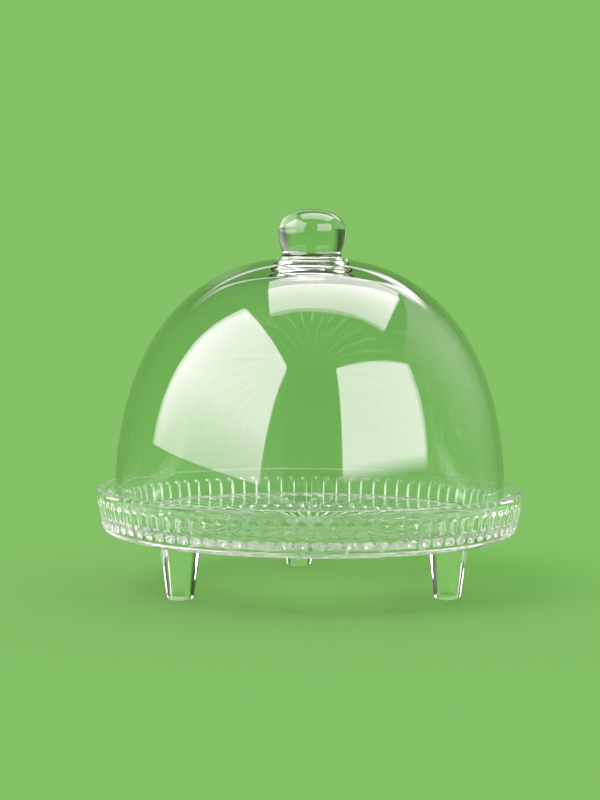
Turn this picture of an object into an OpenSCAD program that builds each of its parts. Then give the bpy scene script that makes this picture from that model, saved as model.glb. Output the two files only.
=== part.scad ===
// Footed plate of clear pressed glass, with a lift-off glass dome that ends in a fused ball knob.
// Millimetres, +Z up, the front faces -Y.
// The origin is the centre of the three feet, on the surface that they stand on.

/* [Plate] */
// Outer diameter over the lip of the rim
rim_d = 220; // [180:1:300]
// Height of the lip above the lower face of the base ring
rim_h = 23.2; // [17:0.1:34]
// Thickness of the rim wall; the lip is a full round of this width
rim_t = 5; // [3:0.1:6.5]
// Outward lean of the rim wall from the vertical, in degrees
rim_lean = 11.3; // [4:0.1:22]
// Thickness of the floor
floor_t = 7.5; // [5:0.1:11]
// Fillet between the floor and the rim wall
floor_fillet = 1.6; // [0.5:0.1:4]
// Radius of the rounded edge at the bottom of the rim wall
base_round = 5; // [1:0.1:6]
// Width of the flat lower face of the base ring
ring_w = 3.5; // [2:0.1:8]
// Height that the base ring stands below the underside of the floor
ring_h = 1.5; // [0.6:0.1:3]

/* [Rim flutes] */
// Number of flutes around the rim
flute_count = 90; // [30:3:120]
// Plain glass between two flutes
flute_land = 1.9; // [0.8:0.1:4]
// Depth of a flute
flute_depth = 1.7; // [0.3:0.1:2.2]
// Plain band between the top of the lip and the flutes' arched tops
flute_lip_gap = 5.8; // [3:0.1:7]
// Plain band between the base ring's lower face and the flutes' round ends
flute_base_gap = 4.8; // [2:0.1:6]

/* [Sunburst] */
// Number of rays pressed into the underside of the floor
ray_count = 45; // [15:3:60]
// Plain glass between two rays, at their outer ends
ray_land = 2.2; // [0.8:0.1:4]
// Depth of a ray at its outer end
ray_depth = 1.9; // [0.4:0.1:2.6]
// Diameter of the plain disc in the middle of the sunburst
sun_d = 34; // [24:1:60]
// Plain glass between the rays and the feet
ray_foot_gap = 2.5; // [1:0.5:8]

/* [Fringe] */
// Number of short rays that would fill the ring outside the sunburst; those that meet a foot are left out
fringe_count = 60; // [30:3:120]
// Plain glass between two of these rays, at their outer ends
fringe_land = 3.4; // [0.8:0.1:5]
// Depth of such a ray at its outer end
fringe_depth = 1.6; // [0.3:0.1:2.2]
// Plain glass between these rays and the sunburst, and between them and the base ring
fringe_gap = 2; // [1:0.5:8]

/* [Feet] */
// Clear height between the table and the base ring
foot_h = 29; // [15:0.5:60]
// Distance from a foot's axis in to the edge of the plate's base
foot_inset = 29; // [20:0.5:40]
// Diameter of a foot where it stands
foot_tip_d = 13.6; // [8:0.1:18]
// Diameter of a foot below its root fillet
foot_root_d = 21; // [14:0.1:26]
// Rounded edge of the standing face
foot_edge = 1.6; // [0.5:0.1:3]
// Fillet where a foot meets the underside
foot_fillet = 2; // [0.5:0.1:4]

/* [Dome] */
// Height of the dome's curve above the plate's floor
dome_h = 132.4; // [90:0.1:180]
// Fullness of the dome's curve: 2 is an ellipse, more is squarer
dome_power = 2.37; // [2:0.01:3.2]
// Clearance between the dome's lower edge and the fillet of the plate
dome_gap = 0.8; // [0.5:0.1:6]
// Wall thickness at the lower edge
dome_t = 3.2; // [2.4:0.1:5]
// Glass thickness on the axis, below the crown of the curve
crown_t = 6; // [5:0.1:16]
// How late the wall thickens towards the crown
crown_power = 20; // [2:0.5:30]
// Rounding of the lower edge
dome_edge = 1; // [0.3:0.1:1.1]

/* [Knob] */
// Diameter of the ball
knob_d = 35; // [26:0.5:50]
// Height of the ball above its widest ring
knob_top_h = 10.4; // [7:0.1:18]
// Lower half axis of the ball's ellipse
knob_low_h = 23.7; // [20:0.1:36]
// Height of the widest ring above the neck
neck_drop = 12.1; // [8:0.1:18]
// Spread of the collar beyond the neck
collar_w = 4.8; // [2:0.1:8]
// Height of the collar's flare
collar_h = 3.4; // [1.5:0.1:6]

/* [Hidden] */

clear_glass = [0.85, 0.93, 0.87];
tinted_glass = [0.72, 0.86, 0.76];

// Segments in a quarter of a profile's curves, and sides of the round cutters
curve_steps = 36;
arc_steps = 8;
round_fn = 180;
cutter_fn = 40;

// Levels above the table
base_z = foot_h;
under_z = base_z + ring_h;
floor_z = under_z + floor_t;
lip_z = base_z + rim_h;

// The rim wall's faces are two parallel lines that lean out; the lip's circle touches both
rim_r = rim_d / 2;
lip_r = rim_t / 2;
lip_c = [rim_r - lip_r, lip_z - lip_r];
base_r = lip_c[0] + lip_r / cos(rim_lean) - (lip_c[1] - base_z) * tan(rim_lean);
function outer_wall_r(z) = base_r + (z - base_z) * tan(rim_lean);
function inner_wall_r(z) = outer_wall_r(z) - rim_t / cos(rim_lean);

// Centres of the rounded base edge and of the floor's fillet, each tangent to its wall line
base_c = [outer_wall_r(base_z + base_round) - base_round / cos(rim_lean), base_z + base_round];
fillet_c = [inner_wall_r(floor_z + floor_fillet) - floor_fillet / cos(rim_lean), floor_z + floor_fillet];
floor_r = fillet_c[0];
ring_in_r = base_c[0] - ring_w;

// Points of an arc about c, from angle a to angle b
function arc(c, r, a, b, n = arc_steps) =
    [for (i = [0:n]) c + r * [cos(a + (b - a) * i / n), sin(a + (b - a) * i / n)]];

// A round-bottomed groove of width w and depth d is cut by a cylinder of this radius
function groove_r(w, d) = (w * w / 4 + d * d) / (2 * d);

// Rim flutes: capsules that lie along the leaning wall
flute_top_z = lip_z - flute_lip_gap;
flute_end_z = base_z + flute_base_gap;
flute_mid_z = (flute_top_z + flute_end_z) / 2;
flute_w = 2 * PI * outer_wall_r(flute_mid_z) / flute_count - flute_land;
flute_r = groove_r(flute_w, flute_depth);
flute_run = (flute_top_z - flute_end_z) / cos(rim_lean) - flute_w;

// Sunburst rays: cones with their common tip on the axis, so width and depth grow with the radius
foot_angles = [90, 210, 330];
foot_circle_r = base_r - foot_inset;
foot_reach = foot_root_d / 2 + foot_fillet;
ray_end_r = foot_circle_r - foot_reach - ray_foot_gap;
ray_w = 2 * PI * ray_end_r / ray_count - ray_land;

// The fringe's rays are such cones too, between the sunburst and the base ring
fringe_from_r = ray_end_r + fringe_gap;
fringe_end_r = ring_in_r - ring_h - fringe_gap;
fringe_w = 2 * PI * fringe_end_r / fringe_count - fringe_land;
function foot_miss(a, foot) = cos(a - foot) > 0 ? foot_circle_r * abs(sin(a - foot)) : foot_circle_r;
function misses_feet(a) = min([for (foot = foot_angles) foot_miss(a, foot)]) > foot_reach + fringe_w / 2;

// The dome's curve is a superellipse that stands on the floor
dome_r = floor_r - dome_gap;
function dome_pt(t) = [dome_r * pow(cos(t), 2 / dome_power), dome_h * pow(sin(t), 2 / dome_power)];
function dome_height(r) = dome_h * pow(1 - pow(r / dome_r, dome_power), 1 / dome_power);
function dome_slope(p) =
    [pow(p[0] / dome_r, dome_power - 1) / dome_r, pow(p[1] / dome_h, dome_power - 1) / dome_h];
function dome_wall(p) = dome_t + (crown_t - dome_t) * pow(p[1] / dome_h, crown_power);
function inner_pt(p) = p - dome_wall(p) * dome_slope(p) / norm(dome_slope(p));

// The ball's ellipse is cut at the neck, and the collar flares from there onto the dome
knob_r = knob_d / 2;
neck_r = knob_r * sqrt(1 - pow(neck_drop / knob_low_h, 2));
collar_r = neck_r + collar_w;
collar_z = dome_height(collar_r);
neck_z = collar_z + collar_h;
collar_t = asin(pow(collar_z / dome_h, dome_power / 2));
edge_t = asin(pow(dome_edge / dome_h, dome_power / 2));

// Section of the plate from the axis out along the underside, up the rim and back along the floor
plate_section = concat(
    [[0, under_z], [ring_in_r - ring_h, under_z], [ring_in_r, base_z]],
    arc(base_c, base_round, -90, -rim_lean),
    arc(lip_c, lip_r, -rim_lean, 180 - rim_lean, 2 * arc_steps),
    arc(fillet_c, floor_fillet, -rim_lean, -90),
    [[0, floor_z]]
);

// Section of the dome above the floor: outer curve, collar, neck, axis and back down the inner curve
dome_outer = [for (i = [0:curve_steps]) dome_pt(edge_t + (collar_t - edge_t) * i / curve_steps)];
dome_inner = [for (i = [0:curve_steps]) inner_pt(dome_pt(90 - (90 - edge_t) * i / curve_steps))];
dome_section = concat(
    arc([dome_r - dome_t + dome_edge, dome_edge], dome_edge, 180, 270),
    arc([dome_r - dome_edge, dome_edge], dome_edge, -90, 0),
    [for (i = [1:curve_steps]) dome_outer[i]],
    [for (i = [1:arc_steps])
        [collar_r - collar_w * sin(90 * i / arc_steps), neck_z - collar_h * cos(90 * i / arc_steps)]],
    [[0, neck_z]],
    [for (i = [0:curve_steps - 1]) dome_inner[i]]
);

// Section of the ball above the neck: lower ellipse, then upper ellipse
neck_angle = asin(neck_drop / knob_low_h);
knob_section = concat(
    [[0, 0]],
    [for (i = [0:arc_steps])
        let (t = neck_angle * (i / arc_steps - 1))
        [knob_r * cos(t), neck_drop + knob_low_h * sin(t)]],
    [for (i = [1:2 * arc_steps])
        let (t = 90 * i / (2 * arc_steps))
        [knob_r * cos(t), neck_drop + knob_top_h * sin(t)]]
);

// Section of a foot: rounded standing edge, tapered side, root fillet
foot_root_z = under_z - foot_fillet;
foot_lean = atan((foot_root_d - foot_tip_d) / 2 / foot_root_z);
foot_section = concat(
    [[0, 0]],
    arc([foot_tip_d / 2 - foot_edge, foot_edge], foot_edge, -90, -foot_lean),
    arc([foot_root_d / 2 + foot_fillet, foot_root_z], foot_fillet, 180, 90),
    [[0, under_z]]
);

module revolved(section) {
    rotate_extrude($fn = round_fn)
        polygon(section);
}

// One capsule on the +X side, whose axis lies outside the wall and leaves a flute of the set depth
module flute_cutter() {
    translate([outer_wall_r(flute_mid_z), 0, flute_mid_z])
        rotate([0, rim_lean, 0])
            translate([flute_r - flute_depth, 0, -flute_run / 2]) {
                cylinder(r = flute_r, h = flute_run, $fn = cutter_fn);
                sphere(r = flute_r, $fn = cutter_fn);
                translate([0, 0, flute_run])
                    sphere(r = flute_r, $fn = cutter_fn);
            }
}

// One cone on the +X side, whose axis dips below the underside and leaves a ray of the set outer width
module ray_cutter(from_r, end_r, w, depth) {
    cut_r = groove_r(w, depth);
    dip = atan((cut_r - depth) / end_r);
    from = from_r / cos(dip);
    to = end_r / cos(dip);
    translate([0, 0, under_z])
        rotate([0, 90 + dip, 0])
            translate([0, 0, from])
                cylinder(h = to - from, r1 = cut_r * from / to, r2 = cut_r, $fn = cutter_fn);
}

module fringe_cutters() {
    for (i = [0:fringe_count - 1])
        if (misses_feet(360 * i / fringe_count))
            rotate([0, 0, 360 * i / fringe_count])
                ray_cutter(fringe_from_r, fringe_end_r, fringe_w, fringe_depth);
}

module around(count) {
    for (i = [0:count - 1])
        rotate([0, 0, 360 * i / count])
            children();
}

module plate() {
    color(tinted_glass)
        difference() {
            revolved(plate_section);
            around(flute_count) flute_cutter();
            around(ray_count) ray_cutter(sun_d / 2, ray_end_r, ray_w, ray_depth);
            fringe_cutters();
        }
}

module foot(angle) {
    color(tinted_glass)
        rotate([0, 0, angle])
            translate([foot_circle_r, 0, 0])
                revolved(foot_section);
}

module foot_back() {
    foot(foot_angles[0]);
}

module foot_front_left() {
    foot(foot_angles[1]);
}

module foot_front_right() {
    foot(foot_angles[2]);
}

module dome_shell() {
    color(clear_glass)
        translate([0, 0, floor_z])
            revolved(dome_section);
}

module knob() {
    color(clear_glass)
        translate([0, 0, floor_z + neck_z])
            revolved(knob_section);
}

dome_shell();
knob();
plate();
foot_back();
foot_front_left();
foot_front_right();
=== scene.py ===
"""Looks of a footed glass plate with its lift-off glass dome.

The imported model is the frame. Its two bodies, the footed plate and the cover, are each dressed with one
closed skin of clear glass: the knob and the feet are fused on, and clear glass would show any face left
between them. All sizes are in metres.
"""

import logging
import math
from dataclasses import dataclass
from enum import Enum
from typing import Any

import bpy
import numpy as np
from mathutils import Matrix, Vector


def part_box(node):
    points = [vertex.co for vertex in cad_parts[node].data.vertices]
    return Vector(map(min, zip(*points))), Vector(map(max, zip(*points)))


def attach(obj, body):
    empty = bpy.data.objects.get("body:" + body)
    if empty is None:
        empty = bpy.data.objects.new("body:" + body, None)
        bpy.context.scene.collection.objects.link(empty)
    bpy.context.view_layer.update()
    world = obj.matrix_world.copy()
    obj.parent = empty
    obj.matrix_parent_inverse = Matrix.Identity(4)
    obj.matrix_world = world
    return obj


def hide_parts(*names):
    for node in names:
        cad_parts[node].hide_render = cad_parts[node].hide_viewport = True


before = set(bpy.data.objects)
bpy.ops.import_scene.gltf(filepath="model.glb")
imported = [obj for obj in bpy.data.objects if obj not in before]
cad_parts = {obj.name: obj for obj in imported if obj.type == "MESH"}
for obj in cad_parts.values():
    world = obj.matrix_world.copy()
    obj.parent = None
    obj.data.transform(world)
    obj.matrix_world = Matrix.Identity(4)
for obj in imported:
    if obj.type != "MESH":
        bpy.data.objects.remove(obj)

log = logging.getLogger("scene")

MM = 0.001
TOUCH = 0.01 * MM
Colour = tuple[float, float, float]
Span = tuple[float, float]
Piece = bpy.types.Object
Socket = bpy.types.NodeSocket


class GlassKind(Enum):
    """How a piece of glass was shaped, with the waves per metre of its skin along x, y and z.

    Blown walls are drawn out upright, pressed ones are even.
    """

    BLOWN = (95.0, 95.0, 7.0)
    PRESSED = (240.0, 240.0, 240.0)


def outwards(azimuth: float, lift: float) -> Vector:
    """Direction at an azimuth from the front towards the right, and at a lift, both in radians."""
    return Vector((math.sin(azimuth) * math.cos(lift), -math.cos(azimuth) * math.cos(lift), math.sin(lift)))


def arc(centre: Span, radius: float, start: float, end: float, count: int) -> np.ndarray:
    """Sample a circular arc in the plane of radius and height.

    Args:
        centre: Centre of the arc as radius and height.
        radius: Radius of the arc.
        start: First angle in degrees, from the outward direction towards up.
        end: Last angle in degrees.
        count: Number of points, both ends included.

    Returns:
        Array of count points, each a radius and a height.
    """
    turn = np.radians(np.linspace(start, end, count))
    return np.column_stack((centre[0] + radius * np.cos(turn), centre[1] + radius * np.sin(turn)))


def line(start: Span, end: Span, count: int) -> np.ndarray:
    """Sample a straight line in the plane of radius and height, without its two ends."""
    share = np.linspace(0.0, 1.0, count + 2)[1:-1, None]
    return np.asarray(start) * (1.0 - share) + np.asarray(end) * share


def around(count: int) -> np.ndarray:
    """Directions in radians that divide the full turn evenly."""
    return np.linspace(0.0, 2.0 * math.pi, count, endpoint=False)


def spread(section: np.ndarray, count: int) -> tuple[np.ndarray, np.ndarray]:
    """Repeat a section for count directions, as a grid of radii and a grid of heights."""
    return np.repeat(section[:, :1], count, axis=1), np.repeat(section[:, 1:], count, axis=1)


def revolve(radius: np.ndarray, height: np.ndarray, turn: np.ndarray) -> tuple[np.ndarray, list[list[int]]]:
    """Close a grid of rings into a skin around the upright axis.

    Row i of the grid is a ring of the section and column j a direction; a point stands at
    (radius cos(turn), radius sin(turn), height). The first and last ring lie on the axis and become one
    point each.

    Args:
        radius: Radii, one row per ring and one column per direction.
        height: Heights in the same layout.
        turn: Directions of the columns in radians.

    Returns:
        The points and the faces, which all look outwards when the section runs from the top pole over
        the outside to the lower pole.
    """
    rows, columns = radius.shape
    grid = np.stack((radius * np.cos(turn), radius * np.sin(turn), height), axis=-1)
    first = np.array([[0.0, 0.0, height[0].mean()]])
    last = np.array([[0.0, 0.0, height[-1].mean()]])
    points = np.concatenate((first, grid[1:-1].reshape(-1, 3), last))
    ring = 1 + np.arange((rows - 2) * columns).reshape(rows - 2, columns)
    beside = np.roll(ring, -1, axis=1)
    quads = np.stack((ring[:-1], ring[1:], beside[1:], beside[:-1]), axis=-1).reshape(-1, 4)
    top = np.column_stack((np.zeros(columns, int), ring[0], beside[0]))
    low = np.column_stack((np.full(columns, len(points) - 1), beside[-1], ring[-1]))
    return points, quads.tolist() + top.tolist() + low.tolist()


def make_piece(name: str, points: np.ndarray, faces: list[list[int]]) -> Piece:
    """Turn points and faces into a smooth-shaded object at the origin.

    Args:
        name: Name of the object and of its mesh.
        points: Array of points.
        faces: Corners of each face, counter-clockwise as seen from outside.

    Returns:
        The object, in the scene's collection.
    """
    mesh = bpy.data.meshes.new(name)
    mesh.from_pydata(points.tolist(), [], faces)
    mesh.shade_smooth()
    piece = bpy.data.objects.new(name, mesh)
    bpy.context.scene.collection.objects.link(piece)
    return piece


@dataclass(frozen=True)
class Wiring:
    """Adds nodes to a node tree and joins their sockets."""

    tree: bpy.types.NodeTree

    def feed(self, socket: Socket, value: Any) -> None:
        """Join a socket to the one that feeds it, or set it to a fixed value.

        Args:
            socket: Input that is fed.
            value: Output of another node, or a number, colour or vector.
        """
        if isinstance(value, Socket):
            self.tree.links.new(value, socket)
        else:
            socket.default_value = value

    def add(self, kind: str, **values: Any) -> bpy.types.Node:
        """Add a node.

        Args:
            kind: Blender's name for the kind of node.
            **values: What feeds its inputs, by their names.

        Returns:
            The node.
        """
        node = self.tree.nodes.new(kind)
        for name, value in values.items():
            self.feed(node.inputs[name], value)
        return node

    def math(self, operation: str, *values: Any, clamp: bool = False) -> Socket:
        """Work out a number from other numbers.

        Args:
            operation: Blender's name for the operation.
            *values: What feeds its inputs, in order.
            clamp: Whether the result is kept from 0 to 1.

        Returns:
            Socket with the result.
        """
        node = self.tree.nodes.new("ShaderNodeMath")
        node.operation = operation
        node.use_clamp = clamp
        for socket, value in zip(node.inputs, values):
            self.feed(socket, value)
        return node.outputs[0]

    def ramp(self, value: Socket, source: Span, target: Span, smooth: bool = False) -> Socket:
        """Map a number from one range to another, held at both ends.

        Args:
            value: Socket with the number.
            source: Where the ramp begins and ends.
            target: What it gives at its beginning and its end.
            smooth: Whether the ramp eases in and out.

        Returns:
            Socket with the result.
        """
        node = self.tree.nodes.new("ShaderNodeMapRange")
        if smooth:
            node.interpolation_type = "SMOOTHSTEP"
        self.feed(node.inputs["Value"], value)
        for name, number in zip(("From Min", "From Max", "To Min", "To Max"), source + target):
            self.feed(node.inputs[name], number)
        return node.outputs["Result"]


@dataclass(frozen=True)
class GlassFinish:
    """Clear glass of one piece: its tint, its polish and the fine waves of its skin.

    The waves die out between the two heights of calm, and the marks are where the polish is wiped dull.
    """

    name: str
    kind: GlassKind
    tint: Colour
    wave_height: float
    depth_density: float
    depth_colour: Colour = (0.45, 0.62, 0.40)
    ior: float = 1.5
    calm: Span = (135.0 * MM, 158.0 * MM)
    haze: float = 0.03
    mark_scale: float = 38.0
    mark_detail: float = 3.0
    mark_bend: float = 1.2
    mark_range: Span = (0.52, 0.78)

    def waves(self, wiring: Wiring, place: Socket) -> Socket:
        """Make the skin wavy: noise, times a ramp over the height that calms it towards the crown.

        Args:
            wiring: Node tree of the material.
            place: Socket with the place on the piece.

        Returns:
            Socket with the wavy normal.
        """
        mapping = wiring.add("ShaderNodeMapping", Vector=place, Scale=self.kind.value)
        noise = wiring.add("ShaderNodeTexNoise", Vector=mapping.outputs["Vector"], Scale=1.0, Detail=1.0)
        axes = wiring.add("ShaderNodeSeparateXYZ", Vector=place)
        calm = wiring.ramp(axes.outputs["Z"], self.calm, (1.0, 0.0))
        swell = wiring.math("MULTIPLY", noise.outputs["Fac"], calm)
        bump = wiring.add("ShaderNodeBump", Height=swell, Strength=1.0, Distance=self.wave_height)
        return bump.outputs["Normal"]

    def marks(self, wiring: Wiring, place: Socket) -> Socket:
        """Roughen the polish with faint wiping marks.

        Args:
            wiring: Node tree of the material.
            place: Socket with the place on the piece.

        Returns:
            Socket with the roughness.
        """
        noise = wiring.add("ShaderNodeTexNoise", Vector=place, Scale=self.mark_scale,
                           Detail=self.mark_detail, Distortion=self.mark_bend)
        return wiring.ramp(noise.outputs["Fac"], self.mark_range, (0.0, self.haze))

    def material(self) -> bpy.types.Material:
        """Build the glass shader.

        Returns:
            A material that light passes through with a faint tint, and that takes up some of it inside.
        """
        material = bpy.data.materials.new(self.name)
        material.use_nodes = True
        nodes = material.node_tree.nodes
        wiring = Wiring(material.node_tree)
        shader = nodes["Principled BSDF"]
        shader.inputs["Base Color"].default_value = (*self.tint, 1.0)
        shader.inputs["Transmission Weight"].default_value = 1.0
        shader.inputs["IOR"].default_value = self.ior
        place = wiring.add("ShaderNodeTexCoord").outputs["Object"]
        wiring.feed(shader.inputs["Normal"], self.waves(wiring, place))
        wiring.feed(shader.inputs["Roughness"], self.marks(wiring, place))
        body = wiring.add("ShaderNodeVolumeAbsorption", Color=(*self.depth_colour, 1.0),
                          Density=self.depth_density)
        wiring.feed(nodes["Material Output"].inputs["Volume"], body.outputs["Volume"])
        return material


@dataclass
class DomeCover:
    """The cover: a blown dome that thickens to the crown, with a collar and a solid knob on top.

    Names that end in r, w and h are radii, widths and heights. Rows and columns count the grid's lines, and
    the inside is worked out inner_fine times finer before its rows are spaced evenly.
    """

    finish: GlassFinish
    foot_z: float = 38.0 * MM
    dome_r: float = 100.5 * MM
    dome_h: float = 132.4 * MM
    power: float = 2.37
    wall: float = 3.2 * MM
    crown: float = 6.0 * MM
    crown_power: float = 20.0
    edge: float = 1.0 * MM
    knob_r: float = 17.5 * MM
    knob_upper: float = 10.4 * MM
    knob_lower: float = 23.7 * MM
    neck_drop: float = 12.1 * MM
    collar_w: float = 4.8 * MM
    collar_h: float = 3.4 * MM
    columns: int = 320
    top_rows: int = 34
    neck_rows: int = 20
    flare_rows: int = 14
    wall_rows: int = 92
    edge_rows: int = 7
    inner_rows: int = 84
    inner_fine: int = 6

    def neck_r(self) -> float:
        """Radius of the neck, where the lower half of the knob ends."""
        return self.knob_r * math.sqrt(1.0 - (self.neck_drop / self.knob_lower) ** 2)

    def curve(self, turn: np.ndarray) -> np.ndarray:
        """Outside of the dome: a superellipse, (r / radius)^power + (z / height)^power = 1.

        Args:
            turn: Parameter in radians, from 0 at the edge to a quarter turn at the axis.

        Returns:
            Array of points as radius and height.
        """
        cosine = np.clip(np.cos(turn), 0.0, 1.0) ** (2.0 / self.power)
        sine = np.clip(np.sin(turn), 0.0, 1.0) ** (2.0 / self.power)
        return np.column_stack((self.dome_r * cosine, self.foot_z + self.dome_h * sine))

    def inside(self) -> np.ndarray:
        """Inside of the dome: the outside moved inwards by a wall that thickens towards the crown.

        Returns:
            Array of points as radius and height, evenly from just above the edge up to the axis.
        """
        turn = np.linspace(0.0, math.pi / 2.0, self.inner_fine * self.inner_rows)[1:-1]
        outer = self.curve(turn)
        slope = np.gradient(outer, axis=0)
        normal = np.column_stack((slope[:, 1], -slope[:, 0]))
        normal /= np.linalg.norm(normal, axis=1, keepdims=True)
        rise = (outer[:, 1] - self.foot_z) / self.dome_h
        wall = self.wall + (self.crown - self.wall) * rise ** self.crown_power
        inner = outer - normal * wall[:, None]
        inner = inner[(inner[:, 1] > self.foot_z + 2.0 * self.edge) & (inner[:, 0] > 0.0)]
        top = np.array([[0.0, self.foot_z + self.dome_h - self.crown]])
        inner = np.concatenate((inner, top))
        run = np.concatenate(([0.0], np.cumsum(np.linalg.norm(np.diff(inner, axis=0), axis=1))))
        even = np.linspace(0.0, run[-1], self.inner_rows)
        return np.column_stack((np.interp(even, run, inner[:, 0]), np.interp(even, run, inner[:, 1])))

    def knob(self, equator_z: float) -> np.ndarray:
        """Outside of the knob: a quarter of an ellipse down to the widest ring, then part of a taller one.

        Args:
            equator_z: Height of the widest ring.

        Returns:
            Array of points as radius and height.
        """
        upper = np.linspace(math.pi / 2.0, 0.0, self.top_rows)
        top = np.column_stack((self.knob_r * np.cos(upper), equator_z + self.knob_upper * np.sin(upper)))
        lower = np.linspace(0.0, math.asin(self.neck_drop / self.knob_lower), self.neck_rows)[1:]
        low = np.column_stack((self.knob_r * np.cos(lower), equator_z - self.knob_lower * np.sin(lower)))
        return np.concatenate((top, low))

    def section(self) -> np.ndarray:
        """Section of the whole cover from the top of the knob over the outside to the inner crown.

        The collar flares out from the neck as a quarter of an ellipse, and the edge is two quarter circles.

        Returns:
            Array of points as radius and height.
        """
        collar_r = self.neck_r() + self.collar_w
        collar_turn = math.acos((collar_r / self.dome_r) ** (self.power / 2.0))
        neck_z = float(self.curve(np.array([collar_turn]))[0, 1]) + self.collar_h
        flare_turn = np.linspace(0.0, math.pi / 2.0, self.flare_rows)[1:]
        flare = np.column_stack((
            collar_r - self.collar_w * np.cos(flare_turn),
            neck_z - self.collar_h * np.sin(flare_turn)))
        wall = self.curve(np.linspace(collar_turn, 0.0, self.wall_rows)[1:])
        wall = wall[wall[:, 1] > self.foot_z + self.edge]
        inner = self.inside()
        edge_z = self.foot_z + self.edge
        outer_edge = arc((self.dome_r - self.edge, edge_z), self.edge, 0.0, -90.0, self.edge_rows)
        inner_edge = arc((inner[0, 0] + self.edge, edge_z), self.edge, -90.0, -180.0, self.edge_rows)
        knob = self.knob(neck_z + self.neck_drop)
        return np.concatenate((knob, flare, wall, outer_edge, inner_edge, inner))

    def build(self) -> Piece:
        """Revolve the section into the cover's skin."""
        radius, height = spread(self.section(), self.columns)
        return make_piece("cover_glass", *revolve(radius, height, around(self.columns)))

    def dress(self) -> Piece:
        """Build the cover, give it its glass and tie it to its body.

        Returns:
            The dressed piece.
        """
        piece = self.build()
        piece.data.materials.append(self.finish.material())
        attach(piece, "cover")
        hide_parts("dome_shell", "knob")
        return piece


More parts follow.
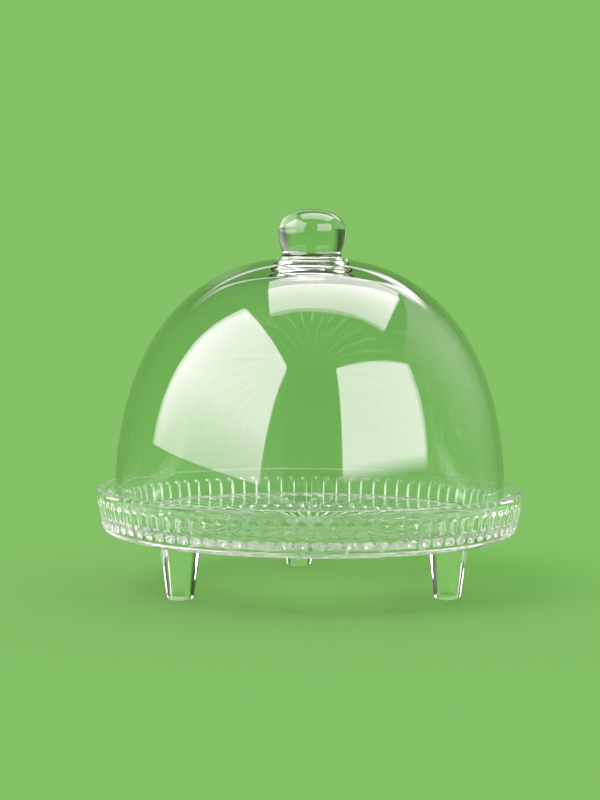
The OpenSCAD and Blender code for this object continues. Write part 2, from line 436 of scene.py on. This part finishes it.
@dataclass
class FootedPlate:
    """The plate: a low fluted dish with a sunburst pressed below it, on three fused feet.

    Names that end in r, w, t and h are radii, widths, thicknesses and heights. A land is what is left between
    two grooves. Steps are shares of a flute's pitch and of the floor's radius, and flare_end is in degrees.
    """

    finish: GlassFinish
    rim_r: float
    rim_h: float = 23.2 * MM
    rim_t: float = 5.0 * MM
    lean: float = math.radians(11.3)
    floor_t: float = 7.5 * MM
    floor_fillet: float = 1.6 * MM
    base_round: float = 5.0 * MM
    ring_w: float = 3.5 * MM
    ring_h: float = 1.5 * MM
    flutes: int = 90
    flute_land: float = 1.9 * MM
    flute_depth: float = 1.7 * MM
    flute_lip_gap: float = 5.8 * MM
    flute_base_gap: float = 4.8 * MM
    rays: int = 45
    ray_land: float = 2.2 * MM
    ray_depth: float = 1.9 * MM
    sun_r: float = 17.0 * MM
    fringe: int = 60
    fringe_depth: float = 1.6 * MM
    fringe_land: float = 3.4 * MM
    fringe_gap: float = 2.0 * MM
    ray_foot_gap: float = 2.5 * MM
    ray_end_zone: float = 4.0 * MM
    feet: int = 3
    foot_h: float = 29.0 * MM
    foot_inset: float = 29.0 * MM
    foot_tip_r: float = 6.8 * MM
    foot_root_r: float = 10.5 * MM
    foot_edge: float = 1.6 * MM
    foot_fillet: float = 2.0 * MM
    foot_sunk: float = 0.8 * MM
    foot_columns: int = 64
    flare_end: float = 94.0
    polish: float = 0.05 * MM
    flute_steps: tuple[float, ...] = (-0.5, -0.41, -0.345, -0.26, -0.13, 0.0, 0.13, 0.26, 0.345, 0.41)
    floor_steps: tuple[float, ...] = (0.0, 0.3, 0.6, 0.9, 0.985)
    lip_rows: int = 14
    inner_rows: int = 4
    wall_rows: int = 23
    fillet_rows: int = 7
    round_rows: int = 8
    ring_rows: int = 4
    side_rows: int = 6
    sole_rows: int = 3

    def lip_r(self) -> float:
        """Radius of the round lip."""
        return self.rim_t / 2.0

    def lip_centre(self) -> Span:
        """Centre of the round lip as radius and height."""
        return (self.rim_r - self.lip_r(), self.foot_h + self.rim_h - self.lip_r())

    def outer_wall(self, height: float) -> float:
        """Outer wall, before the flutes: a line that leans outwards and touches the lip.

        Args:
            height: Height above the table.

        Returns:
            Radius of the wall at that height.
        """
        lip = self.lip_centre()
        top_r = lip[0] + self.lip_r() * math.cos(self.lean)
        top_z = lip[1] - self.lip_r() * math.sin(self.lean)
        return top_r - (top_z - height) * math.tan(self.lean)

    def inner_wall(self, height: float) -> float:
        """Inner wall: the line beside the outer one that touches the lip on its other side.

        Args:
            height: Height above the table.

        Returns:
            Radius of the wall at that height.
        """
        lip = self.lip_centre()
        low_r = lip[0] - self.lip_r() * math.cos(self.lean)
        low_z = lip[1] + self.lip_r() * math.sin(self.lean)
        return low_r - (low_z - height) * math.tan(self.lean)

    def base_r(self) -> float:
        """Radius at which the round edge below the wall ends and the base ring begins."""
        return self.outer_wall(self.foot_h + self.base_round) - self.base_round / math.cos(self.lean)

    def foot_ring(self) -> float:
        """Radius of the circle on which the feet stand."""
        return self.outer_wall(self.foot_h) - self.foot_inset

    def foot_ways(self) -> np.ndarray:
        """Directions of the feet: one behind and two in front."""
        return np.radians(90.0 + 360.0 / self.feet * np.arange(self.feet))

    def ray_end(self) -> float:
        """Radius at which the sunburst ends, short of the feet."""
        return self.foot_ring() - self.foot_root_r - self.foot_fillet - self.ray_foot_gap

    def columns(self) -> np.ndarray:
        """Directions of the grid's columns: the same steps in every flute, closer at the flute's edges.

        Returns:
            Directions in radians.
        """
        share = np.array(self.flute_steps)
        centre = np.arange(self.flutes)[:, None]
        return ((centre + share[None, :]) * (2.0 * math.pi / self.flutes)).ravel()

    def section(self) -> np.ndarray:
        """Plain section from the middle of the floor over the lip and the wall to the middle below.

        Returns:
            Array of points as radius and height.
        """
        base_z = self.foot_h
        under_z = base_z + self.ring_h
        floor_z = under_z + self.floor_t
        lean = math.degrees(self.lean)
        fillet_z = floor_z + self.floor_fillet
        fillet_r = self.inner_wall(fillet_z) - self.floor_fillet / math.cos(self.lean)
        floor_r = np.array(self.floor_steps) * fillet_r
        floor = np.column_stack((floor_r, np.full_like(floor_r, floor_z)))
        fillet = arc((fillet_r, fillet_z), self.floor_fillet, -90.0, -lean, self.fillet_rows)
        lip = arc(self.lip_centre(), self.lip_r(), 180.0 - lean, -lean, self.lip_rows)
        inner = line(tuple(fillet[-1]), tuple(lip[0]), self.inner_rows)
        base_centre = (self.base_r(), base_z + self.base_round)
        base = arc(base_centre, self.base_round, -lean, -90.0, self.round_rows)
        wall = line(tuple(lip[-1]), tuple(base[0]), self.wall_rows)
        ring_in = self.base_r() - self.ring_w
        ring_r = 0.5 * self.ring_h
        ring_z = base_z + ring_r
        ring_a = arc((ring_in, ring_z), ring_r, -90.0, -180.0, self.ring_rows)
        ring_b = arc((ring_in - 2.0 * ring_r, ring_z), ring_r, 0.0, 90.0, self.ring_rows)
        rings = self.under_rings(float(ring_b[-1, 0]))
        below = np.column_stack((rings, np.full_like(rings, under_z)))
        return np.concatenate((floor, fillet, inner, lip, wall, base, ring_a, ring_b, below))

    def under_rings(self, outer: float) -> np.ndarray:
        """Radii of the rings on the underside, closer together where the rays begin and end.

        Args:
            outer: Radius at which the flat underside meets the base ring.

        Returns:
            Radii from just inside the outer one down to zero.
        """
        ends = self.fringe_gap + self.ray_end_zone
        # Each zone's outer and inner radius, and its number of rings.
        zones = (
            (outer, outer - ends, 7),
            (outer - ends, self.ray_end() + ends, 4),
            (self.ray_end() + ends, self.ray_end() - ends, 12),
            (self.ray_end() - ends, self.sun_r + ends, 5),
            (self.sun_r + ends, self.sun_r - ends, 6),
            (self.sun_r - ends, 0.0, 2),
        )
        return np.concatenate([np.linspace(start, end, count + 1)[1:] for start, end, count in zones])

    def groove(self, reach: np.ndarray, half: np.ndarray | float, depth: np.ndarray | float) -> np.ndarray:
        """Depth of a round-bottomed groove, with its edges softened by the fire polish.

        A circle of radius rho = (half^2 + depth^2) / (2 depth) sinks to the depth and meets the surface
        at the half width; the depth at a distance q is sqrt(rho^2 - q^2) - (rho - depth), and its
        meeting with zero is rounded off.

        Args:
            reach: Distance q of each point from the middle line of its groove.
            half: Half the groove's width at each point.
            depth: Depth of the groove's middle line at each point.

        Returns:
            How deep each point sinks.
        """
        rho = (half ** 2 + depth ** 2) / (2.0 * depth)
        sink = np.sqrt(np.clip(rho ** 2 - reach ** 2, 0.0, None)) - (rho - depth)
        return 0.5 * (sink + np.sqrt(sink ** 2 + self.polish ** 2)) - 0.25 * self.polish ** 2 / rho

    def side_step(self, turn: np.ndarray, count: int) -> np.ndarray:
        """Angle of each direction from the middle of the nearest of count equal sectors."""
        pitch = 2.0 * math.pi / count
        return np.mod(turn + 0.5 * pitch, pitch) - 0.5 * pitch

    def flute_sink(self, section: np.ndarray, turn: np.ndarray) -> np.ndarray:
        """Depth of the arched flutes: grooves along the leaning wall, with round ends.

        Past the straight part of a flute, the distance is taken to the end point of its middle line.

        Args:
            section: Rings of the plate as radius and height.
            turn: Directions of the columns in radians.

        Returns:
            How deep each point of the outer wall sinks.
        """
        low = self.foot_h + self.flute_base_gap
        high = self.foot_h + self.rim_h - self.flute_lip_gap
        middle_r = self.outer_wall(0.5 * (low + high))
        half = math.pi * middle_r / self.flutes - 0.5 * self.flute_land
        run = (section[:, 1] - 0.5 * (low + high)) / math.cos(self.lean)
        straight = 0.5 * (high - low) / math.cos(self.lean) - half
        beyond = np.clip(np.abs(run) - straight, 0.0, None)[:, None]
        across = section[:, :1] * self.side_step(turn, self.flutes)[None, :]
        return self.groove(np.hypot(across, beyond), half, self.flute_depth)

    def ray_sink(self, section: np.ndarray, turn: np.ndarray) -> np.ndarray:
        """Depth of the sunburst rays on the underside for every ring and direction."""
        run = (self.sun_r, self.ray_end())
        return self.burst(section, turn, self.rays, run, self.ray_land, self.ray_depth)

    def fringe_sink(self, section: np.ndarray, turn: np.ndarray) -> np.ndarray:
        """Depth of the short outer rays, of which those that meet a foot are left out.

        Args:
            section: Rings of the plate as radius and height.
            turn: Directions of the columns in radians.

        Returns:
            How deep each point of the underside sinks.
        """
        start = self.ray_end() + self.fringe_gap
        end = self.base_r() - self.ring_w - self.ring_h - self.fringe_gap
        sink = self.burst(section, turn, self.fringe, (start, end), self.fringe_land, self.fringe_depth)
        ray_way = turn - self.side_step(turn, self.fringe)
        off = ray_way[:, None] - self.foot_ways()[None, :]
        miss = self.foot_ring() * np.where(np.cos(off) > 0.0, np.abs(np.sin(off)), 1.0)
        reach = self.foot_root_r + self.foot_fillet + math.pi * end / self.fringe - 0.5 * self.fringe_land
        return sink * (miss.min(axis=1) > reach)[None, :]

    def burst(self, section: np.ndarray, turn: np.ndarray, count: int, run: Span, land: float,
              depth: float) -> np.ndarray:
        """Depth of a ring of radial grooves that widen and deepen outwards and end round.

        Half width and depth grow in step with the radius. Past either end of the middle line, the distance
        is taken to its end point.

        Args:
            section: Rings of the plate as radius and height.
            turn: Directions of the columns in radians.
            count: Number of grooves.
            run: Radii at which the grooves begin and end.
            land: Width left between two grooves at their outer end.
            depth: Depth at the outer end.

        Returns:
            How deep each point sinks.
        """
        start, end = run
        half_end = math.pi * end / count - 0.5 * land
        radius = section[:, :1]
        near = np.clip(radius, start, end)
        half = half_end * near / end
        over = np.clip(radius - (end - half_end), 0.0, None)
        under = np.clip(start * (1.0 + half_end / end) - radius, 0.0, None)
        across = radius * self.side_step(turn, count)[None, :]
        reach = np.sqrt(across ** 2 + over ** 2 + under ** 2)
        return self.groove(reach, half, depth * near / end)

    def dish(self) -> Piece:
        """Build the dish: the plain section, sunk by the flutes outside and by the rays below.

        Returns:
            The dish without its feet.
        """
        section = self.section()
        turn = self.columns()
        radius, height = spread(section, len(turn))
        plain = np.array([self.outer_wall(z) for z in section[:, 1]])
        outside = (np.abs(section[:, 0] - plain) < TOUCH) & (section[:, 1] < self.lip_centre()[1])
        sink = self.flute_sink(section, turn) * outside[:, None]
        radius = radius - sink * math.cos(self.lean)
        height = height + sink * math.sin(self.lean)
        below = np.abs(section[:, 1] - (self.foot_h + self.ring_h)) < TOUCH
        height = height + (self.ray_sink(section, turn) + self.fringe_sink(section, turn)) * below[:, None]
        return make_piece("plate_glass", *revolve(radius, height, turn))

    def foot(self, index: int) -> Piece:
        """Build one foot: a cone with a rounded tip and a flared root that runs into the dish.

        Args:
            index: Number of the foot.

        Returns:
            The foot.
        """
        root_z = self.foot_h + self.ring_h
        flare_z = root_z - self.foot_fillet
        flare_r = self.foot_root_r + self.foot_fillet
        top_z = root_z + self.foot_sunk
        tip_centre = (self.foot_tip_r - self.foot_edge, self.foot_edge)
        tip = arc(tip_centre, self.foot_edge, -90.0, 0.0, self.round_rows)
        sole = line((0.0, 0.0), tuple(tip[0]), self.sole_rows)
        side = line(tuple(tip[-1]), (self.foot_root_r, flare_z), self.side_rows)
        flare = arc((flare_r, flare_z), self.foot_fillet, 180.0, self.flare_end, self.round_rows)
        sunk = np.array([[flare[-1, 0], top_z], [0.0, top_z]])
        section = np.concatenate((np.zeros((1, 2)), sole, tip, side, flare, sunk))[::-1]
        points, faces = revolve(*spread(section, self.foot_columns), around(self.foot_columns))
        way = self.foot_ways()[index]
        points = points + self.foot_ring() * np.array([math.cos(way), math.sin(way), 0.0])
        return make_piece(f"foot_{index}", points, faces)

    def build(self) -> Piece:
        """Fuse the dish and its three feet into one skin.

        Returns:
            The plate.
        """
        dish = self.dish()
        feet = [self.foot(index) for index in range(self.feet)]
        for foot in feet:
            joint = dish.modifiers.new(foot.name, "BOOLEAN")
            joint.operation = "UNION"
            joint.solver = "MANIFOLD"
            joint.object = foot
        fused = bpy.data.meshes.new_from_object(dish.evaluated_get(bpy.context.evaluated_depsgraph_get()))
        dish.modifiers.clear()
        dish.data = fused
        fused.shade_smooth()
        for foot in feet:
            bpy.data.objects.remove(foot)
        return dish

    def dress(self) -> Piece:
        """Build the plate, give it its glass and tie it to its body.

        Returns:
            The dressed piece.
        """
        piece = self.build()
        piece.data.materials.clear()
        piece.data.materials.append(self.finish.material())
        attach(piece, "footed_plate")
        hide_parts("plate", "foot_back", "foot_front_left", "foot_front_right")
        return piece


@dataclass(frozen=True)
class Softbox:
    """One bright panel that the glass mirrors, given in the camera's frame.

    Attributes:
        name: Name of the light.
        azimuth: Degrees from the front towards the right.
        tilt: Degrees above the level.
        distance: Distance of the panel's plane from the middle of the object.
        span: Left and right end, measured across the panel's plane.
        rise: Lower and upper end, measured up the panel's plane.
        radiance: Brightness.
        roll: Degrees by which the panel is turned in its plane.
        low: Share of the brightness at the lower end.
        full: Share of the height at which the brightness is full.
        slant: Share of the height by which the lower end rises from one side to the other.
        soft: Share of the width over which both sides fade.
        deep: Share of the brightness that is left behind both walls of the dome.
        cover_share: Share of the brightness that the cover sees.
        plate_share: Share of the brightness that the plate sees.
        walls: Numbers of glass surfaces passed between which the panel dims.
        colour: Colour of the light, poor in green, because the green studio shows through its image.
    """

    name: str
    azimuth: float
    tilt: float
    distance: float
    span: Span
    rise: Span
    radiance: float
    roll: float = 0.0
    low: float = 1.0
    full: float = 0.3
    slant: float = 0.0
    soft: float = 0.01
    deep: float = 1.0
    cover_share: float = 1.0
    plate_share: float = 1.0
    walls: Span = (3.0, 4.0)
    colour: Colour = (1.0, 0.72, 1.0)

    def fade(self, data: bpy.types.AreaLight) -> None:
        """Let the panel fade towards its lower end and its sides, and dim behind both walls of the dome.

        The brightness is a ramp over the height times a ramp over the distance from the upright middle
        line, both worked out from the place on the panel, which runs from 0 to 1 across and up. Light on
        its way through the glass to the floor isn't dimmed.

        Args:
            data: The panel's light.
        """
        data.use_nodes = True
        wiring = Wiring(data.node_tree)
        place = wiring.add("ShaderNodeNewGeometry").outputs["Parametric"]
        axes = wiring.add("ShaderNodeSeparateXYZ", Vector=place)
        rise = wiring.math("MULTIPLY_ADD", axes.outputs["X"], -self.slant, axes.outputs["Y"])
        upward = wiring.ramp(rise, (0.0, self.full), (self.low, 1.0))
        off = wiring.math("ABSOLUTE", wiring.math("SUBTRACT", axes.outputs["X"], 0.5))
        sideways = wiring.ramp(off, (0.5 - self.soft, 0.5), (1.0, 0.0), smooth=True)
        rays = wiring.add("ShaderNodeLightPath")
        dim = wiring.ramp(rays.outputs["Transmission Depth"], self.walls, (1.0, self.deep))
        seen = wiring.math("ADD", dim, rays.outputs["Diffuse Depth"], clamp=True)
        level = wiring.math("MULTIPLY", wiring.math("MULTIPLY", upward, sideways), seen)
        wiring.feed(data.node_tree.nodes["Emission"].inputs["Strength"], level)

    def hang(self, turn: float, middle: float, cover: Piece, plate: Piece) -> None:
        """Hang the panel for all to see, or apart for the cover and for the plate, each with its share.

        Args:
            turn: Turn of the camera's frame about the upright axis, in radians.
            middle: Height the panel looks at.
            cover: The glass that sees the cover's share of the panel's brightness.
            plate: The glass that sees the plate's share of it.
        """
        shares = (self.cover_share, self.plate_share)
        if shares == (1.0, 1.0):
            self.place(turn, middle, self.radiance)
            return
        for piece, share in zip((cover, plate), shares):
            if share == 0.0:
                continue
            lamp = self.place(turn, middle, self.radiance * share)
            lamp.light_linking.receiver_collection = bpy.data.collections.new(lamp.name)
            lamp.light_linking.receiver_collection.objects.link(piece)

    def place(self, turn: float, middle: float, radiance: float) -> bpy.types.Object:
        """Place the panel as an area light that only glass and polish can see.

        Args:
            turn: Turn of the camera's frame about the upright axis, in radians.
            middle: Height the panel looks at.
            radiance: How bright the panel is.

        Returns:
            The light.
        """
        way = math.radians(self.azimuth) + turn
        out = outwards(way, math.radians(self.tilt))
        side = Vector((math.cos(way), math.sin(way), 0.0))
        up = out.cross(side)
        if up.z < 0.0:
            up = -up
        bank = math.radians(self.roll)
        side, up = side * math.cos(bank) + up * math.sin(bank), up * math.cos(bank) - side * math.sin(bank)
        data = bpy.data.lights.new(self.name, "AREA")
        data.shape = "RECTANGLE"
        data.size = self.span[1] - self.span[0]
        data.size_y = self.rise[1] - self.rise[0]
        data.energy = radiance * math.pi * data.size * data.size_y
        data.color = self.colour
        self.fade(data)
        lamp = bpy.data.objects.new(self.name, data)
        centre = Vector((0.0, 0.0, middle)) + out * self.distance
        centre += side * (0.5 * sum(self.span)) + up * (0.5 * sum(self.rise))
        across = up.cross(out)
        lamp.matrix_world = Matrix.Translation(centre) @ Matrix((across, up, out)).transposed().to_4x4()
        lamp.visible_camera = False
        lamp.visible_diffuse = False
        bpy.context.scene.collection.objects.link(lamp)
        return lamp


@dataclass
class Studio:
    """Pale green sweep, soft light, the panels that the glass mirrors, and the camera.

    Attributes:
        pale: Colour of the sweep, on the floor and at the horizon.
        sky: Colour overhead.
        horizon: Heights of the view at which the pale colour ends and the sky begins.
        side_shade: Brightness at both sides, as seen through the glass.
        side_back: Angle by which the dark sides stand towards the back.
        side_range: Where the sides begin to darken and where they are dark.
        gleam: Brightness that is added to what the dome mirrors of the plate.
        gleam_mirrors: Numbers of mirrorings between which the gleam sets in.
        gleam_walls: Numbers of glass surfaces passed between which it sets in.
        gleam_colour: Colour of the gleam.
        mirror_side: Brightness of the studio in a mirror, at the sides and behind.
        mirror_front: The same in front.
        mirror_top: The same overhead, as a share.
        front_range: Where the dim front ends and the bright sides begin.
        top_range: Heights of the view at which the dim top begins and is full.
        mirror_near: Distance on the floor up to which a mirror sees it in its own colour.
        mirror_far: Distance from which a mirror sees the floor's painted shade in full, as dim as the studio.
        floor_half: Half the width of the floor.
        ambient: Colour of the even light.
        key: Colour of the sun that draws the shadow.
        key_azimuth: Degrees of the sun from the front towards the right.
        key_lift: Degrees of the sun above the level.
        key_spread: Degrees that the sun takes up in the sky, which softens the shadow.
        turn: Turn of the camera's frame about the upright axis.
        camera_side: How far the camera stands to the right of the axis.
        camera_back: How far it stands in front of the axis.
        camera_z: Height of the camera.
        camera_drop: Angle by which it looks down.
        camera_roll: Angle by which it is rolled.
        lens: Focal length in millimetres.
        sensor: Width of the sensor in millimetres.
        look_z: Height that the panels look at.
        bounces: Number of times that light is followed through the glass.
        boxes: The panels.
    """

    pale: Colour = (0.232, 0.531, 0.135)
    sky: Colour = (0.15, 0.19, 0.13)
    horizon: Span = (0.30, 0.70)
    side_shade: float = 0.12
    side_back: float = math.radians(20.0)
    side_range: Span = (0.72, 0.90)
    gleam: float = 1.0
    gleam_mirrors: Span = (1.0, 2.0)
    gleam_walls: Span = (5.0, 6.0)
    gleam_colour: Colour = (1.0, 0.9, 1.0)
    mirror_side: float = 0.8
    mirror_front: float = 0.15
    mirror_top: float = 0.8
    front_range: Span = (-0.80, -0.40)
    top_range: Span = (0.05, 0.40)
    mirror_near: float = 0.25
    mirror_far: float = 0.8
    floor_half: float = 6.0
    ambient: Colour = (0.78, 0.90, 0.74)
    key: Colour = (0.22, 0.10, 0.26)
    key_azimuth: float = -50.0
    key_lift: float = 52.0
    key_spread: float = 38.0
    turn: float = math.radians(-3.9)
    camera_side: float = -5.4 * MM
    camera_back: float = 933.8 * MM
    camera_z: float = 148.5 * MM
    camera_drop: float = math.radians(3.17)
    camera_roll: float = math.radians(0.5)
    lens: float = 81.5
    sensor: float = 36.0
    look_z: float = 0.1
    bounces: int = 32
    boxes: tuple[Softbox, ...] = (
        Softbox("left_panel", -78.0, 10.0, 0.6, (-0.25, 0.74), (-0.08, 0.80), 7.6, roll=-2.0,
                low=0.5, deep=0.15, plate_share=0.3),
        Softbox("right_panel", 42.5, 11.2, 0.8, (-0.365, 0.396), (-0.20, 0.51), 7.0, roll=-7.0,
                low=0.0, full=0.1, slant=0.17, deep=0.15, plate_share=0.3),
        Softbox("top_panel", 65.7, 63.1, 0.8, (-0.775, 0.162), (0.05, 0.85), 5.0, roll=-66.9),
        Softbox("back_strip", 178.0, 36.0, 0.9, (-0.62, 0.62), (-0.03, 0.03), 2.2, soft=0.3),
        Softbox("back_panel", 154.0, 35.0, 0.9, (-0.20, 0.20), (-0.07, 0.06), 3.0, soft=0.4),
        Softbox("right_fill", 112.0, 20.0, 0.8, (-0.60, 0.60), (-0.40, 0.40), 0.8,
                low=0.0, full=0.6, soft=0.5),
        Softbox("left_tube", -122.0, 8.0, 0.7, (-0.08, 0.08), (-0.15, 0.03), 9.0, cover_share=0.0),
        Softbox("right_tube", 122.0, 8.0, 0.7, (-0.08, 0.08), (-0.15, 0.03), 9.0, cover_share=0.0),
    )

    def mirror_level(self, wiring: Wiring, way: Socket) -> Socket:
        """Work out how bright a mirror sees the studio in a direction: dim in front and overhead.

        Args:
            wiring: Node tree that gets the nodes.
            way: Socket with the direction, of length one.

        Returns:
            Socket with the brightness.
        """
        axes = wiring.add("ShaderNodeSeparateXYZ", Vector=way)
        sides = (self.mirror_front, self.mirror_side)
        front = wiring.ramp(axes.outputs["Y"], self.front_range, sides, smooth=True)
        above = wiring.ramp(axes.outputs["Z"], self.top_range, (1.0, self.mirror_top), smooth=True)
        return wiring.math("MULTIPLY", front, above)

    def mirror_ray(self, wiring: Wiring) -> Socket:
        """Tell the rays that a surface has mirrored (1) from those that came straight through (0)."""
        return wiring.math("MINIMUM", wiring.add("ShaderNodeLightPath").outputs["Glossy Depth"], 1.0)

    def sweep(self) -> Piece:
        """Lay the wide floor, with painted shade that only a mirror sees: darker away from the object, most
        in front.

        Returns:
            The floor.
        """
        half = self.floor_half
        points = np.array([[-half, -half, 0.0], [half, -half, 0.0], [half, half, 0.0], [-half, half, 0.0]])
        floor = make_piece("floor", points, [[0, 1, 2, 3]])
        material = bpy.data.materials.new("floor")
        material.use_nodes = True
        wiring = Wiring(material.node_tree)
        shader = material.node_tree.nodes["Principled BSDF"]
        shader.inputs["Roughness"].default_value = 1.0
        shader.inputs["Specular IOR Level"].default_value = 0.0
        place = wiring.add("ShaderNodeTexCoord").outputs["Object"]
        away = wiring.add("ShaderNodeVectorMath")
        away.operation = "LENGTH"
        wiring.feed(away.inputs[0], place)
        # Painted shade in the floor's colour: mirrored rays see it darker away from the object and in front,
        # as if the sweep were lit only near it; all other rays see it even.
        reach = (self.mirror_near, self.mirror_far)
        painted_falloff = wiring.ramp(away.outputs["Value"], reach, (0.0, 1.0), smooth=True)
        seen = wiring.math("MULTIPLY", painted_falloff, self.mirror_ray(wiring))
        way = wiring.add("ShaderNodeVectorMath")
        way.operation = "NORMALIZE"
        wiring.feed(way.inputs[0], place)
        level = wiring.add("ShaderNodeMix", Factor=seen, A=1.0, B=self.mirror_level(wiring, way.outputs[0]))
        tone = wiring.add("ShaderNodeVectorMath")
        tone.operation = "SCALE"
        wiring.feed(tone.inputs[0], self.pale)
        wiring.feed(tone.inputs["Scale"], level.outputs["Result"])
        wiring.feed(shader.inputs["Base Color"], tone.outputs[0])
        floor.data.materials.append(material)
        return floor

    def backdrop(self, wiring: Wiring, rays: bpy.types.Node) -> Socket:
        """Make the backdrop: a pale horizon, a dim sky and, as seen through the glass, dark sides.

        Args:
            wiring: Node tree of the world.
            rays: Node that tells the kinds of rays apart.

        Returns:
            Socket with the shader.
        """
        place = wiring.add("ShaderNodeTexCoord").outputs["Generated"]
        mapping = wiring.add("ShaderNodeMapping", Vector=place, Rotation=(0.0, 0.0, -self.turn))
        way = mapping.outputs["Vector"]
        axes = wiring.add("ShaderNodeSeparateXYZ", Vector=way)
        tone = wiring.add("ShaderNodeValToRGB", Fac=axes.outputs["Z"])
        for stop, position, colour in zip(tone.color_ramp.elements, self.horizon, (self.pale, self.sky)):
            stop.position = position
            stop.color = (*colour, 1.0)
        off = wiring.math("ABSOLUTE", axes.outputs["X"])
        across = wiring.math("MULTIPLY", off, math.cos(self.side_back))
        side = wiring.math("MULTIPLY_ADD", axes.outputs["Y"], math.sin(self.side_back), across)
        shade = wiring.ramp(side, self.side_range, (1.0, self.side_shade), smooth=True)
        mirrored = self.mirror_level(wiring, way)
        glass = wiring.add("ShaderNodeMix", Factor=self.mirror_ray(wiring), A=shade, B=mirrored)
        level = wiring.math("MAXIMUM", glass.outputs["Result"], rays.outputs["Is Camera Ray"])
        shown = wiring.add("ShaderNodeBackground", Color=tone.outputs["Color"], Strength=level)
        return shown.outputs[0]

    def glow(self, wiring: Wiring, rays: bpy.types.Node) -> Socket:
        """Make the gleam for light mirrored twice deep in the glass, which shows the sunburst in the dome.

        Args:
            wiring: Node tree of the world.
            rays: Node that tells the kinds of rays apart.

        Returns:
            Socket with the shader.
        """
        twice = wiring.ramp(rays.outputs["Glossy Depth"], self.gleam_mirrors, (0.0, self.gleam))
        deep = wiring.ramp(rays.outputs["Transmission Depth"], self.gleam_walls, (0.0, 1.0))
        level = wiring.math("MULTIPLY", twice, deep)
        shown = wiring.add("ShaderNodeBackground", Color=(*self.gleam_colour, 1.0), Strength=level)
        return shown.outputs[0]

    def surroundings(self) -> None:
        """Light the scene evenly, and show the eye, the mirror and the glass the backdrop instead.

        Light that reaches the floor through the glass is even light too, so the shadow stays pale.
        """
        world = bpy.data.worlds.new("studio")
        bpy.context.scene.world = world
        world.use_nodes = True
        nodes = world.node_tree.nodes
        wiring = Wiring(world.node_tree)
        plain = nodes["Background"]
        plain.inputs["Color"].default_value = (*self.ambient, 1.0)
        rays = wiring.add("ShaderNodeLightPath")
        eye = wiring.math("MAXIMUM", rays.outputs["Is Camera Ray"], rays.outputs["Is Glossy Ray"])
        seen = wiring.math("MAXIMUM", eye, rays.outputs["Is Transmission Ray"])
        both = wiring.add("ShaderNodeAddShader")
        wiring.feed(both.inputs[0], self.backdrop(wiring, rays))
        wiring.feed(both.inputs[1], self.glow(wiring, rays))
        mix = wiring.add("ShaderNodeMixShader")
        wiring.feed(mix.inputs[0], wiring.math("SUBTRACT", seen, rays.outputs["Diffuse Depth"], clamp=True))
        wiring.feed(mix.inputs[1], plain.outputs[0])
        wiring.feed(mix.inputs[2], both.outputs[0])
        wiring.feed(nodes["World Output"].inputs["Surface"], mix.outputs[0])

    def key_light(self) -> bpy.types.Object:
        """Add a broad sun from the upper left that draws the soft shadow.

        Returns:
            The sun.
        """
        lift = math.radians(self.key_lift)
        data = bpy.data.lights.new("key", "SUN")
        data.energy = math.pi / math.sin(lift)
        data.color = self.key
        data.angle = math.radians(self.key_spread)
        lamp = bpy.data.objects.new("key", data)
        out = outwards(math.radians(self.key_azimuth) + self.turn, lift)
        lamp.rotation_euler = out.to_track_quat("Z", "Y").to_euler()
        lamp.visible_glossy = False
        lamp.visible_transmission = False
        bpy.context.scene.collection.objects.link(lamp)
        return lamp

    def camera(self) -> bpy.types.Object:
        """Set up the camera of the photograph.

        Returns:
            The camera.
        """
        data = bpy.data.cameras.new("camera")
        data.lens = self.lens
        data.sensor_width = self.sensor
        eye = bpy.data.objects.new("camera", data)
        spin = Matrix.Rotation(self.turn, 4, "Z")
        stand = Matrix.Translation((self.camera_side, -self.camera_back, self.camera_z))
        tilt = Matrix.Rotation(math.pi / 2.0 - self.camera_drop, 4, "X")
        roll = Matrix.Rotation(self.camera_roll, 4, "Z")
        eye.matrix_world = spin @ stand @ tilt @ roll
        bpy.context.scene.collection.objects.link(eye)
        bpy.context.scene.camera = eye
        return eye

    def build(self, cover: Piece, plate: Piece) -> None:
        """Set up everything around the object.

        Args:
            cover: The dressed cover, for the panels that it sees by itself.
            plate: The dressed plate, likewise.
        """
        self.surroundings()
        self.sweep()
        self.key_light()
        for box in self.boxes:
            box.hang(self.turn, self.look_z, cover, plate)
        self.camera()
        scene = bpy.context.scene
        scene.view_settings.view_transform = "Standard"
        scene.cycles.max_bounces = self.bounces
        scene.cycles.transmission_bounces = self.bounces
        scene.cycles.glossy_bounces = self.bounces


def main() -> None:
    """Build the two bodies and the studio, and log how many faces each piece has."""
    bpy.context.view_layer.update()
    # The dome's tint is partly the glass's own faint green and partly painted shade: it darkens what shows
    # through the dome, as the dome's shadow on the backdrop behind it would.
    blown = GlassFinish("dome_glass", GlassKind.BLOWN, tint=(0.85, 0.93, 0.83), wave_height=0.045 * MM,
                        depth_density=4.0)
    pressed = GlassFinish("plate_glass", GlassKind.PRESSED, tint=(0.96, 0.985, 0.96), wave_height=0.03 * MM,
                          depth_density=1.0)
    low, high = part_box("plate")
    rim_r = 0.25 * (high[0] - low[0] + high[1] - low[1])
    pieces = [part.dress() for part in (DomeCover(blown), FootedPlate(pressed, rim_r))]
    for piece in pieces:
        log.info("%s: %d faces", piece.name, len(piece.data.polygons))
    Studio().build(*pieces)


if __name__ == "__main__":
    logging.basicConfig(level=logging.INFO, format="%(message)s")
    main()
